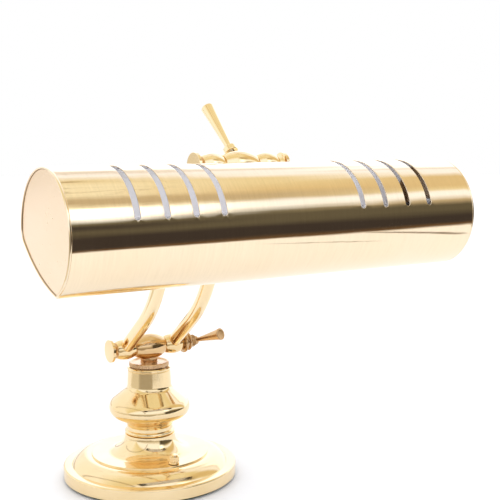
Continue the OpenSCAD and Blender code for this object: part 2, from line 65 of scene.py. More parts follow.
LOWER = Vector(JOINT["arm_tilt"]["pos_m"])
UPPER = Vector(JOINT["shade_tilt"]["pos_m"])
LEVER_AXIS = Vector(JOINT["upper_lever_turn"]["axis"]).normalized()
SHADE_R = 45 * MM
SHEET = 0.8 * MM
shade_low, shade_high = (Vector(v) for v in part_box("shade_shell"))
SHADE = Vector((0, shade_low.y + SHADE_R, shade_high.z - SHADE_R))
SHADE_HALF = shade_high.x


# ---- meshes ----
def new_piece(name, verts, faces, material, body=None, replaces=(), slot=None, sharp=()):
    """A piece whose vertex normals are weighted by face area, so broad faces stay true beside small fillets."""
    mesh = bpy.data.meshes.new(name)
    mesh.from_pydata([tuple(v) for v in verts], [], [tuple(f) for f in faces])
    mesh.validate()
    mesh.update()
    soften(mesh)
    mesh.materials.append(material)
    obj = bpy.data.objects.new(name, mesh)
    bpy.context.scene.collection.objects.link(obj)
    if body:
        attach(obj, body)
    if replaces:
        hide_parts(*replaces)
    return obj


def soften(mesh):
    """Smooth shading, with each vertex normal weighted by the area of the faces round it."""
    count = len(mesh.vertices)
    total = np.zeros((count, 3))
    for face in mesh.polygons:
        weighted = np.array(face.normal) * face.area
        for index in face.vertices:
            total[index] += weighted
        face.use_smooth = True
    length = np.linalg.norm(total, axis=1, keepdims=True)
    length[length == 0] = 1
    mesh.normals_split_custom_set_from_vertices((total / length).tolist())


def arc(centre, radius, start, end, steps):
    """Points along an arc, in degrees."""
    angles = np.radians(np.linspace(start, end, steps + 1))
    return [(centre[0] + radius * math.cos(a), centre[1] + radius * math.sin(a)) for a in angles]


def rounded(points, radius=0.3, steps=4, closed=False):
    """An outline with its corners rounded. A point may be (x, y) or (x, y, its own radius)."""
    out = []
    count = len(points)
    for i, point in enumerate(points):
        here = Vector(point[:2])
        own = point[2] if len(point) > 2 else radius
        if own == 0 or (not closed and i in (0, count - 1)):
            out.append(tuple(here))
            continue
        before = Vector(points[i - 1][:2]) - here
        after = Vector(points[(i + 1) % count][:2]) - here
        angle = before.angle(after, math.pi)
        if angle > math.radians(172):
            out.append(tuple(here))
            continue
        cut = min(own / math.tan(angle / 2), 0.45 * before.length, 0.45 * after.length)
        a = here + before.normalized() * cut
        b = here + after.normalized() * cut
        for k in range(steps + 1):
            t = k / steps
            out.append(tuple(a * (1 - t) ** 2 + here * 2 * t * (1 - t) + b * t ** 2))
    return out


def lathe(profile, segments=160, ripple=None):
    """Turns an open (radius, height) profile in mm round z. ripple is (teeth, depth, least radius, low, high)."""
    verts, faces, rings = [], [], []
    for radius, height in profile:
        if radius < 1e-6:
            rings.append([len(verts)])
            verts.append((0, 0, height * MM))
            continue
        ring = []
        for i in range(segments):
            turn = 2 * math.pi * i / segments
            r = radius
            if ripple and radius >= ripple[2] and ripple[3] <= height <= ripple[4]:
                r -= ripple[1] * abs(((i * ripple[0] / segments) % 1) * 2 - 1)
            ring.append(len(verts))
            verts.append((r * MM * math.cos(turn), r * MM * math.sin(turn), height * MM))
        rings.append(ring)
    for low, high in zip(rings, rings[1:]):
        if len(low) == 1 and len(high) == 1:
            continue
        for i in range(segments):
            j = (i + 1) % segments
            if len(low) == 1:
                faces.append((low[0], high[i], high[j]))
            elif len(high) == 1:
                faces.append((low[i], low[j], high[0]))
            else:
                faces.append((low[i], low[j], high[j], high[i]))
    return verts, faces


def placed(mesh_data, matrix):
    """A vertex and face list moved by a matrix."""
    verts, faces = mesh_data
    moved = [matrix @ Vector(v) for v in verts]
    if matrix.determinant() < 0:
        faces = [tuple(reversed(f)) for f in faces]
    return moved, faces


def joined(*parts):
    """Several vertex and face lists as one."""
    verts, faces = [], []
    for more_verts, more_faces in parts:
        base = len(verts)
        verts.extend(more_verts)
        faces.extend(tuple(base + i for i in f) for f in more_faces)
    return verts, faces


def axis_matrix(origin, direction):
    """Stands local +z along a direction at an origin."""
    z = Vector(direction).normalized()
    helper = Vector((1, 0, 0)) if abs(z.x) < 0.9 else Vector((0, 1, 0))
    x = helper.cross(z).normalized()
    y = z.cross(x)
    matrix = Matrix((x, y, z)).transposed().to_4x4()
    matrix.translation = Vector(origin)
    return matrix


def swept(points, radius, segments=48):
    """A closed round bar along 3D points, its rings carried along without twist."""
    count = len(points)
    points = [Vector(p) for p in points]
    tangents = []
    for i in range(count):
        tangents.append((points[min(i + 1, count - 1)] - points[max(i - 1, 0)]).normalized())
    side = tangents[0].orthogonal().normalized()
    verts, faces = [], []
    for i, (point, tangent) in enumerate(zip(points, tangents)):
        side = (side - tangent * side.dot(tangent)).normalized()
        other = tangent.cross(side)
        size = radius[i] if isinstance(radius, list) else radius
        for k in range(segments):
            a = 2 * math.pi * k / segments
            verts.append(point + (side * math.cos(a) + other * math.sin(a)) * size)
    for i in range(count - 1):
        for k in range(segments):
            m = (k + 1) % segments
            faces.append((i * segments + k, i * segments + m, (i + 1) * segments + m, (i + 1) * segments + k))
    faces.append(tuple(range(segments - 1, -1, -1)))
    faces.append(tuple((count - 1) * segments + k for k in range(segments)))
    return verts, faces


# ---- materials ----
def material(name, color, metallic=0.0, roughness=0.5, **sockets):
    """A material with its shader's own sockets set, and its node tree and shader."""
    mat = bpy.data.materials.new(name)
    mat.use_nodes = True
    shader = mat.node_tree.nodes["Principled BSDF"]
    shader.inputs["Base Color"].default_value = (*color, 1)
    shader.inputs["Metallic"].default_value = metallic
    shader.inputs["Roughness"].default_value = roughness
    for key, value in sockets.items():
        shader.inputs[key.replace("_", " ")].default_value = value
    return mat, mat.node_tree, shader


def add(tree, kind, **values):
    """Adds a node and sets its inputs or properties by name."""
    node = tree.nodes.new(kind)
    for key, value in values.items():
        label = key.replace("_", " ")
        if label in node.inputs:
            node.inputs[label].default_value = value
        else:
            setattr(node, key, value)
    return node


def noise(tree, scale, stretch=(1, 1, 1), detail=4.0, rough=0.55):
    """Noise in object coordinates, stretched along the axes."""
    coords = add(tree, "ShaderNodeTexCoord")
    mapping = add(tree, "ShaderNodeMapping")
    mapping.inputs["Scale"].default_value = stretch
    tex = add(tree, "ShaderNodeTexNoise", Scale=scale, Detail=detail, Roughness=rough)
    tree.links.new(coords.outputs["Object"], mapping.inputs["Vector"])
    tree.links.new(mapping.outputs["Vector"], tex.inputs["Vector"])
    return tex.outputs["Fac"]


def spread(tree, value, low, high, to_low, to_high):
    """Maps a value's range to another, clamped."""
    node = add(tree, "ShaderNodeMapRange")
    for key, number in (("From Min", low), ("From Max", high), ("To Min", to_low), ("To Max", to_high)):
        node.inputs[key].default_value = number
    tree.links.new(value, node.inputs["Value"])
    return node.outputs["Result"]


def blend_color(tree, factor, a, b):
    """Mixes two colours by a factor."""
    mix = add(tree, "ShaderNodeMix", data_type="RGBA")
    tree.links.new(factor, mix.inputs["Factor"])
    for socket, value in ((mix.inputs["A"], a), (mix.inputs["B"], b)):
        if isinstance(value, tuple):
            socket.default_value = (*value, 1)
        else:
            tree.links.new(value, socket)
    return mix.outputs["Result"]


def bump(tree, shader, height, strength, distance):
    """Raises the surface's shading by a height."""
    node = add(tree, "ShaderNodeBump", Strength=strength, Distance=distance)
    tree.links.new(height, node.inputs["Height"])
    tree.links.new(node.outputs["Normal"], shader.inputs["Normal"])


def calc(tree, a, b, operation="MULTIPLY"):
    """One operation on two values, each a socket or a number."""
    node = add(tree, "ShaderNodeMath", operation=operation)
    for socket, value in zip(node.inputs, (a, b)):
        if isinstance(value, (int, float)):
            socket.default_value = value
        else:
            tree.links.new(value, socket)
    return node.outputs[0]


BRASS = (0.975, 0.81, 0.585)
BRASS_DEEP = (0.95, 0.74, 0.45)


def brass(name, grain=(1, 1, 1), roughness=(0.035, 0.085), color=BRASS, deep=BRASS_DEEP, scratch=0.02,
          tarnish=0.25, waves=0.0, brushed=0.0):
    """Brass under thin lacquer: polishing lines along the grain, colour drift, pits, brushing and faint waves."""
    mat, tree, shader = material(name, color, 1.0, roughness[0])
    shader.inputs["Coat Weight"].default_value = 0.08
    shader.inputs["Coat Roughness"].default_value = 0.03
    drift = noise(tree, 22, detail=3)
    tone = spread(tree, drift, 0.35, 0.75, 0, tarnish)
    shade = blend_color(tree, tone, color, deep)
    pits = noise(tree, 900, detail=2)
    speck = spread(tree, pits, 0.74, 0.80, 0, 0.55)
    shade = blend_color(tree, speck, shade, (0.34, 0.22, 0.11))
    if brushed:
        hairs = noise(tree, 700, stretch=(1, 0.05, 0.05), detail=3, rough=0.8)
        hairs = spread(tree, hairs, 0.35, 0.75, 0, brushed)
        shade = blend_color(tree, hairs, shade, (0.30, 0.22, 0.10))
    tree.links.new(shade, shader.inputs["Base Color"])
    lines = noise(tree, 420, stretch=grain, detail=5, rough=0.7)
    rough = spread(tree, lines, 0.3, 0.75, *roughness)
    smear = spread(tree, noise(tree, 35, detail=2), 0.35, 0.7, 0, 0.03)
    tree.links.new(calc(tree, rough, smear, "ADD"), shader.inputs["Roughness"])
    bump(tree, shader, lines, scratch, 0.0004)
    if waves:
        fine = shader.inputs["Normal"].links[0].from_node
        coarse = add(tree, "ShaderNodeBump", Strength=waves, Distance=0.0006)
        tree.links.new(noise(tree, 26, stretch=(0.35, 1, 1), detail=2, rough=0.4), coarse.inputs["Height"])
        tree.links.new(coarse.outputs["Normal"], fine.inputs["Normal"])
    return mat


shade_brass = brass("shade_brass", grain=(0.02, 1.2, 1.2), roughness=(0.03, 0.075), scratch=0.03, waves=0.35,
                    brushed=0.10)
bar_brass = brass("bar_brass", color=(0.94, 0.73, 0.43), deep=(0.82, 0.58, 0.28), tarnish=0.7)
arm_brass = brass("arm_brass", color=(0.97, 0.79, 0.51), deep=(0.93, 0.69, 0.36), tarnish=0.6)
turned_brass = brass("turned_brass", grain=(0.3, 0.3, 2.5), roughness=(0.07, 0.13), color=(0.93, 0.74, 0.45),
                     deep=(0.84, 0.63, 0.33), tarnish=0.7, waves=0.5)
boss_brass = brass("boss_brass", grain=(3, 0.4, 0.4), roughness=(0.06, 0.13), color=(0.80, 0.55, 0.29),
                   deep=(0.66, 0.43, 0.21), scratch=0.06, tarnish=0.8)
satin_brass = brass("satin_brass", roughness=(0.20, 0.28), color=(0.95, 0.75, 0.54), deep=(0.92, 0.70, 0.47),
                    scratch=0.03, tarnish=0.6)
ring_brass = brass("ring_brass", grain=(3, 1, 1), roughness=(0.20, 0.32), color=(0.80, 0.55, 0.33),
                   deep=(0.66, 0.43, 0.24), scratch=0.10, tarnish=0.9)
dull_brass = brass("dull_brass", grain=(3, 1, 1), roughness=(0.16, 0.28), color=(0.74, 0.48, 0.25),
                   deep=(0.50, 0.32, 0.16), scratch=0.10, tarnish=1.0)

# A dark copy of the brass that paints shade: the back and flange of each end cap, and the groove by its bead.
painted_shade_brass = brass("painted_shade_brass", roughness=(0.25, 0.4), color=(0.40, 0.30, 0.20), deep=(0.24, 0.18, 0.12),
                    scratch=0.1, tarnish=1.0)


def steel_material():
    mat, tree, shader = material("zinc_steel", (0.62, 0.62, 0.63), 1.0, 0.3)
    crystals = noise(tree, 260, detail=5)
    grey = blend_color(tree, crystals, (0.52, 0.53, 0.55), (0.74, 0.73, 0.71))
    tree.links.new(grey, shader.inputs["Base Color"])
    tree.links.new(spread(tree, crystals, 0.3, 0.7, 0.24, 0.42), shader.inputs["Roughness"])
    bump(tree, shader, crystals, 0.08, 0.0004)
    return mat


def enamel_material():
    mat, tree, shader = material("white_enamel", (0.95, 0.94, 0.97), 0.0, 0.35)
    shader.inputs["Coat Weight"].default_value = 0.4
    peel = noise(tree, 320, detail=2)
    tree.links.new(blend_color(tree, noise(tree, 18), (0.96, 0.95, 0.98), (0.93, 0.92, 0.96)),
                   shader.inputs["Base Color"])
    bump(tree, shader, peel, 0.12, 0.0003)
    return mat


def plastic_material(name, color, lighter):
    mat, tree, shader = material(name, color, 0.0, 0.4)
    grain = noise(tree, 700, detail=4)
    tree.links.new(blend_color(tree, grain, color, lighter), shader.inputs["Base Color"])
    tree.links.new(spread(tree, grain, 0.3, 0.7, 0.32, 0.5), shader.inputs["Roughness"])
    bump(tree, shader, grain, 0.12, 0.0003)
    return mat


def iron_material():
    mat, tree, shader = material("cast_iron", (0.06, 0.06, 0.065), 0.6, 0.7)
    sand = noise(tree, 500, detail=8, rough=0.7)
    rust = spread(tree, noise(tree, 40, detail=4), 0.5, 0.75, 0, 0.5)
    dark = blend_color(tree, sand, (0.03, 0.03, 0.033), (0.10, 0.10, 0.105))
    tree.links.new(blend_color(tree, rust, dark, (0.13, 0.07, 0.04)), shader.inputs["Base Color"])
    bump(tree, shader, sand, 0.6, 0.0008)
    return mat


def felt_material():
    mat, tree, shader = material("green_felt", (0.02, 0.05, 0.03), 0.0, 0.95)
    shader.inputs["Sheen Weight"].default_value = 0.6
    shader.inputs["Sheen Roughness"].default_value = 0.5
    fibre = noise(tree, 1400, detail=6, rough=0.8)
    clump = noise(tree, 120, detail=3)
    base = blend_color(tree, fibre, (0.012, 0.035, 0.02), (0.05, 0.10, 0.06))
    tree.links.new(blend_color(tree, clump, base, (0.02, 0.05, 0.03)), shader.inputs["Base Color"])
    bump(tree, shader, fibre, 0.8, 0.0008)
    return mat


def glass_material():
    mat, tree, shader = material("frosted_glass", (0.96, 0.95, 0.93), 0.0, 0.35)
    shader.inputs["Transmission Weight"].default_value = 0.25
    shader.inputs["Subsurface Weight"].default_value = 0.15
    shader.inputs["Subsurface Radius"].default_value = (0.004, 0.004, 0.004)
    shader.inputs["Coat Weight"].default_value = 0.8
    shader.inputs["Coat Roughness"].default_value = 0.08
    frost = noise(tree, 420, detail=4)
    pale = blend_color(tree, frost, (0.97, 0.96, 0.94), (0.90, 0.89, 0.88))
    tree.links.new(pale, shader.inputs["Base Color"])
    tree.links.new(spread(tree, frost, 0.3, 0.7, 0.28, 0.42), shader.inputs["Roughness"])
    bump(tree, shader, frost, 0.05, 0.0002)
    return mat


zinc_steel = steel_material()
white_enamel = enamel_material()
black_plastic = plastic_material("black_plastic", (0.028, 0.024, 0.022), (0.05, 0.044, 0.04))
black_lead = plastic_material("black_lead", (0.02, 0.02, 0.02), (0.04, 0.04, 0.04))
white_lead = plastic_material("white_lead", (0.72, 0.71, 0.69), (0.82, 0.81, 0.78))
cast_iron = iron_material()
green_felt = felt_material()
frosted_glass = glass_material()


# ---- base ----
FOOT_R = 83
FOOT_TOP = 42.5
NECK_TOP = LOWER.z / MM - 19.1


def foot():
    outer = rounded([
        (FOOT_R - 1.4, 2.5), (FOOT_R, 2.5, 1.8), (FOOT_R, 14, 1.8), (FOOT_R - 8.4, 14, 0.4),
        *arc((FOOT_R - 24, 5), 18, 31, 90, 26), (FOOT_R - 27, 23, 0.4), (FOOT_R - 27, 24.5, 0.5),
        *arc((42, FOOT_TOP), 18, -90, -178, 40), (24, FOOT_TOP, 0.3), (6, FOOT_TOP)], 0.4)
    inner = [(6, FOOT_TOP - 1.4), (22.6, FOOT_TOP - 1.4), *arc((42, FOOT_TOP), 19.4, -176, -90, 20),
             (FOOT_R - 28.4, 21.6), *arc((FOOT_R - 24, 5), 16.6, 90, 33, 12), (FOOT_R - 9.8, 12.6),
             (FOOT_R - 1.4, 12.6), (FOOT_R - 1.4, 2.5)]
    return lathe(outer + inner, 256)


def column():
    bulge = 28.8
    mid = LOWER.z / MM - 58.1
    shoulder = LOWER.z / MM - 36
    waist = FOOT_TOP + 6.5
    outer = rounded([
        (20.4, FOOT_TOP), *arc((21.8, FOOT_TOP + 2.2), 2.2, -80, 80, 14), (22, FOOT_TOP + 4.6, 0.3),
        *arc((29, waist), 7, 176, 120, 18), *arc((bulge, mid), 10, -60, 52, 48),
        *arc((28.2, shoulder), 7, 232, 180, 18), (20.5, NECK_TOP - 3.2, 0.3), (20.0, NECK_TOP - 2.9, 0.15),
        (20.0, NECK_TOP - 2.5, 0.15), (20.9, NECK_TOP - 2.1, 0.5), (20.9, NECK_TOP - 0.7, 0.5),
        (20.0, NECK_TOP, 0.5), (15.1, NECK_TOP)], 0.2, 5)
    inner = [(15.1, NECK_TOP - 2), (18.6, NECK_TOP - 2), *[(r - 1.4, z) for r, z in arc(
        (28.2, shoulder), 7, 180, 232, 8)], *[(r - 1.4, z) for r, z in arc((bulge, mid), 10, 52, -60, 20)],
        *[(r - 1.4, z) for r, z in arc((29, waist), 7, 120, 180, 8)], (20.4, FOOT_TOP)]
    return lathe(outer + inner, 256)


def lock_ring():
    low, high = NECK_TOP + 0.6, NECK_TOP + 4.9
    outer = rounded([
        (15.1, low), (18.1, low, 0.3), (19.0, low + 0.6, 0.2), (19.0, high - 0.6, 0.2), (18.2, high, 0.3),
        (17.0, high, 0.3), (16.2, high - 1.0, 0.3), (8.4, high - 1.0, 0.2), (8.4, high - 1.5), (15.1, high - 1.5)],
        0.2, 4)
    dense = []
    for a, b in zip(outer, outer[1:] + outer[:1]):
        dense.append(a)
        if abs(a[0] - 19.0) < 0.01 and abs(b[0] - 19.0) < 0.01:
            dense += [(19.0, a[1] + (b[1] - a[1]) * t) for t in (0.02, 0.5, 0.98)]
    return lathe(dense + dense[:1], 720, (90, 0.45, 18.95, low + 0.6, high - 0.6))


def stem():
    base = NECK_TOP + 1.3
    return lathe(rounded([(3.6, base), (10.9, base, 0.3), (10.9, base + 2.4, 0.4), (8, base + 2.4, 0.3),
                          (8, LOWER.z / MM - 8.5), (3.6, LOWER.z / MM - 8.5), (3.6, base)], 0.2), 96)


new_piece("foot_skin", *foot(), turned_brass, "base", ["foot_cover"], "polished_brass")
new_piece("column_skin", *column(), turned_brass, "base", ["column"], "polished_brass")
new_piece("knurled_lock_ring", *lock_ring(), ring_brass, "ring", ["lock_ring"], "dull_brass")
new_piece("stem_turned", *stem(), dull_brass, "head", ["swivel_stem"], "dull_brass")


def knob():
    low = 24.9
    place = Matrix.Translation((0, middle("switch_knob").y, 0))
    outline = rounded([
        (0, low), (5, low, 0.3), (5, low + 1.2, 0.3), (4.5, low + 1.7, 0.3), (4.9, low + 2.1, 0.3),
        (4.9, low + 4, 0), (4.9, low + 6.6, 0.4), (4.2, low + 7.4, 0.4), (3.4, low + 8.4, 0.6),
        (0, low + 8.3)], 0.3)
    return placed(lathe(outline, 240, (24, 0.4, 4.85, low + 1.9, low + 6.9)), place)


new_piece("switch_knob_knurled", *knob(), bar_brass, "knob", ["switch_knob"], "polished_brass")


# ---- pivot bars ----
BOSS_HALF = 15.2
KNUCKLE_IN = 15.8
KNUCKLE_W = 19
KNUCKLE_MID = KNUCKLE_IN + KNUCKLE_W / 2
HEAD_IN = 35.4
HEAD_FACE = 41.4


def along_bar(origin, way=1):
    """Stands local +z along the bar, to the right or the left."""
    return axis_matrix(origin, (way, 0, 0))


def barrel(half, mid_d, end_d, steps=22):
    """A bored barrel with softened ends."""
    sag = (mid_d - end_d) / 2
    side_r = (half * half + sag * sag) / (2 * sag)
    reach = math.degrees(math.asin(half / side_r))
    side = arc((mid_d / 2 - side_r, 0), side_r, -reach, reach, steps)
    bore = 4.2
    end_r = end_d / 2 - 0.1
    profile = [(bore, -half), (end_r, -half, 0.45), *side[1:-1], (end_r, half, 0.45), (bore, half)]
    return lathe(rounded(profile, 0.3) + [(bore, -half)], 128)


def knuckle(origin, x, arm_way):
    """A barrel with the short neck that the arm's tube stands on."""
    centre = Vector(origin) + Vector((x * MM, 0, 0))
    neck = lathe(rounded([(0, 2), (6.35, 2), (6.35, 10.9, 0.25), (0, 10.9)], 0.2), 64)
    return joined(placed(barrel(KNUCKLE_W / 2, 19.5, 15), along_bar(centre)),
                  placed(neck, axis_matrix(centre, arm_way)))


def bolt(origin, end):
    """The bolt with its trumpet head to the left."""
    flare = HEAD_FACE - 2.4 - HEAD_IN
    trumpet = arc((4.1 + flare, HEAD_IN), flare, 178, 96, 18)
    head = lathe(rounded([
        (0, HEAD_IN), (4.1, HEAD_IN), *trumpet, (10.7, HEAD_IN + flare, 0.15), (10.7, HEAD_FACE, 0.5),
        (9.9, HEAD_FACE, 0.2), (0, HEAD_FACE)], 0.15, 5), 160)
    shank = lathe([(0, -end), (4, -end), (4, HEAD_IN + 1), (0, HEAD_IN + 1)], 48)
    return placed(joined(head, shank), along_bar(origin, -1))


def washers(origin):
    """Four thin washers, one at each end of each knuckle."""
    rings = []
    for way in (-1, 1):
        for low in (BOSS_HALF + 0.02, KNUCKLE_IN + KNUCKLE_W + 0.02):
            corners = [(4.02, low), (7.2, low, 0.1), (7.2, low + 0.56, 0.1), (4.02, low + 0.56)]
            ring = rounded(corners, 0.1) + [(4.02, low)]
            rings.append(placed(lathe(ring, 64), along_bar(origin, way)))
    return joined(*rings)


ARM_SLOPE = 38.2
ARM_BEND = 22.3
ARM_END = 51
ARM_MID = 29
BEND_R = 110


def arm_points(trim):
    """The arm's centreline in mm from the lower bar, forwards and up, with its ends trimmed."""
    def step(angle, length):
        a = math.radians(angle)
        return Vector((-math.cos(a), math.sin(a))) * length
    here = step(ARM_SLOPE, trim)
    angle = ARM_SLOPE
    points = [here.copy()]
    straight = ARM_END - trim
    for length, turn in ((straight, 0), (0, ARM_BEND), (2 * ARM_MID, 0), (0, -ARM_BEND), (straight, 0)):
        if length:
            parts = 6
            for _ in range(parts):
                here = here + step(angle, length / parts)
                points.append(here.copy())
        else:
            parts = 24
            for _ in range(parts):
                piece = math.radians(abs(turn) / parts) * BEND_R
                here = here + step(angle + turn / parts / 2, piece)
                angle += turn / parts
                points.append(here.copy())
    return points


def arm(x):
    line = [LOWER + Vector((x * MM, p.x * MM, p.y * MM)) for p in arm_points(11.05)]
    start, end = line[0], line[-1]
    first = (line[1] - line[0]).normalized()
    last = (line[-1] - line[-2]).normalized()
    tube = 6.35 * MM
    soft = 0.2 * MM
    line = [start, start + first * soft] + line[1:-1] + [end - last * soft, end]
    radii = [tube - soft] + [tube] * (len(line) - 2) + [tube - soft]
    return swept(line, radii, 72)


ARM_UP = Vector((0, -math.cos(math.radians(ARM_SLOPE)), math.sin(math.radians(ARM_SLOPE))))
for side, x in (("left", -KNUCKLE_MID), ("right", KNUCKLE_MID)):
    new_piece(f"lower_knuckle_{side}_turned", *knuckle(LOWER, x, ARM_UP), bar_brass, "arms",
              [f"lower_knuckle_{side}"], "polished_brass")
    new_piece(f"upper_knuckle_{side}_turned", *knuckle(UPPER, x, -ARM_UP), arm_brass, "arms",
              [f"upper_knuckle_{side}"], "polished_brass")
    new_piece(f"arm_tube_{side}", *arm(x), arm_brass, "arms", [f"arm_{side}"], "polished_brass")
new_piece("lower_bolt_turned", *bolt(LOWER, 47.5), bar_brass, "arms", ["lower_bolt"], "polished_brass")
new_piece("upper_bolt_turned", *bolt(UPPER, 41), arm_brass, "arms", ["upper_bolt"], "polished_brass")
new_piece("lower_washer_set", *washers(LOWER), dull_brass, "arms", ["lower_washers"], "dull_brass")
new_piece("upper_washer_set", *washers(UPPER), dull_brass, "arms", ["upper_washers"], "dull_brass")
new_piece("lower_boss_turned", *placed(barrel(BOSS_HALF, 25, 16, 30), along_bar(LOWER)), boss_brass, "head",
          ["lower_boss"], "polished_brass")


def end_nut():
    return placed(lathe(rounded([
        (4.02, HEAD_IN), (5.2, HEAD_IN, 0.2), *arc((9.2, HEAD_IN + 1), 4, 180, 96, 12), (9.6, HEAD_IN + 5, 0.2),
        (9.6, 43.4, 0.5), (0, 43.4)], 0.2), 128), along_bar(UPPER))


def clamp_nut():
    flange = [
        (4.05, 35.7), (8.9, 35.7, 0.3), *arc((8.8, 37.4), 1.65, -70, 80, 10), (7.2, 39.4, 0.4),
        (7.2, 41.0, 0.4), *arc((7.7, 42.3), 1.25, -60, 84, 8), (5.9, 43.6, 0.2), (5.9, 43.8, 0.05), (5.9, 46.2, 0),
        (5.9, 48.6, 0.05), (5.6, 49.0, 0.2), (4.5, 49.4, 0.3), *arc((0, 50.3), 4.6, 0, 90, 14)]
    return placed(lathe(rounded(flange, 0.2), 400, (40, 0.38, 5.85, 43.7, 48.7)), along_bar(LOWER))


new_piece("upper_end_nut_turned", *end_nut(), arm_brass, "arms", ["upper_end_nut"], "polished_brass")
new_piece("clamp_nut_knurled", *clamp_nut(), dull_brass, "lower_lever", ["clamp_nut"], "dull_brass")


def taper(root, tip, low, high, dish):
    """A lever's tapered grip with a softened rim and a slightly dished end."""
    side = [(root + (tip - root) * (0.75 * t + 0.25 * t * t), low + (high - low - 0.6) * t)
            for t in [i / 14 for i in range(15)]]
    return [(0, low)] + side + [(tip - 0.15, high - 0.15, 0.1), (tip - 0.7, high, 0.2),
                                (tip - 1.3, high - dish * 0.6, 0.3), (0, high - dish)]


def lower_handle():
    rise, splay = math.radians(18.8), math.radians(20)
    way = Vector((math.sin(splay), -math.cos(splay) * math.cos(rise), math.cos(splay) * math.sin(rise)))
    root = Vector(JOINT["lower_lever_turn"]["pos_m"])
    return placed(lathe(rounded(taper(2, 5.8, 4.0, 34.5, 0.6), 0.2), 96), axis_matrix(root, way))


def upper_lever():
    collar = rounded([(3, 14.3), (5.6, 14.3, 0.9), (5.6, 19.7, 0.9), (3, 19.7, 0.3)], 0.8, 6)
    grip = rounded(taper(2.7, 5.5, 19.2, 67.35, 0.5), 0.2)
    return placed(joined(lathe([(0, 14.3)] + collar + [(0, 19.7)], 96), lathe(grip, 96)),
                  axis_matrix(UPPER, LEVER_AXIS))


new_piece("clamp_handle_turned", *lower_handle(), dull_brass, "lower_lever", ["clamp_handle"], "dull_brass")
new_piece("upper_handle_turned", *upper_lever(), arm_brass, "upper_lever", ["upper_handle"], "polished_brass")


def upper_boss():
    to_shade = (SHADE - UPPER).normalized()
    gap = (SHADE - UPPER).length / MM - SHADE_R / MM
    block = rounded([(-12, -7), (12, -7), (12, 7), (-12, 7)], 1.5, 5, closed=True)
    verts, faces = [], []
    levels = (5.0, gap + 0.45)
    for level in levels:
        verts += [(x * MM, y * MM, level * MM) for x, y in block]
    n = len(block)
    for i in range(n):
        j = (i + 1) % n
        faces.append((i, j, n + j, n + i))
    faces += [tuple(range(n - 1, -1, -1)), tuple(range(n, 2 * n))]
    z = to_shade
    x = Vector((1, 0, 0))
    y = z.cross(x)
    matrix = Matrix((x, y, z)).transposed().to_4x4()
    matrix.translation = UPPER
    return joined(placed(barrel(BOSS_HALF, 23, 16, 30), along_bar(UPPER)), placed((verts, faces), matrix))


new_piece("upper_boss_turned", *upper_boss(), arm_brass, "shade", ["upper_boss"], "polished_brass")


# ---- shade ----
SLOT_W = 4.8
SLOT_FIRST = 61.75
SLOT_PITCH = 22.35
SLOT_TOP, SLOT_FRONT = 78, 164
BACK_LIP, FRONT_LIP = -6, 250


def slot_outline(x, grow):
    """A slot's outline, counter-clockwise, as (x, angle), grown by a few tenths of a mm."""
    half = SLOT_W / 2 + grow
    r = SHADE_R / MM
    low, high = math.radians(SLOT_TOP) * r, math.radians(SLOT_FRONT) * r
    points = [(x + half * math.cos(a), high + half * math.sin(a)) for a in np.linspace(0, math.pi, 17)]
    points += [(x - half, high + (low - high) * t) for t in np.linspace(0.02, 0.98, 36)]
    points += [(x + half * math.cos(a), low + half * math.sin(a)) for a in np.linspace(math.pi, 2 * math.pi, 17)]
    points += [(x + half, low + (high - low) * t) for t in np.linspace(0.02, 0.98, 36)]
    return points


def sheet_outline(shrink):
    """The sheet's own edge, counter-clockwise, in mm along x and round the shade."""
    r = SHADE_R / MM
    half = SHADE_HALF / MM - shrink
    low, high = math.radians(BACK_LIP) * r + shrink, math.radians(FRONT_LIP) * r - shrink
    across, around = 60, 128
    xs = np.linspace(-half, half, across + 1)
    ss = np.linspace(low, high, around + 1)
    points = [(x, low) for x in xs[:-1]] + [(half, s) for s in ss[:-1]]
    points += [(x, high) for x in xs[::-1][:-1]] + [(-half, s) for s in ss[::-1][:-1]]
    return points


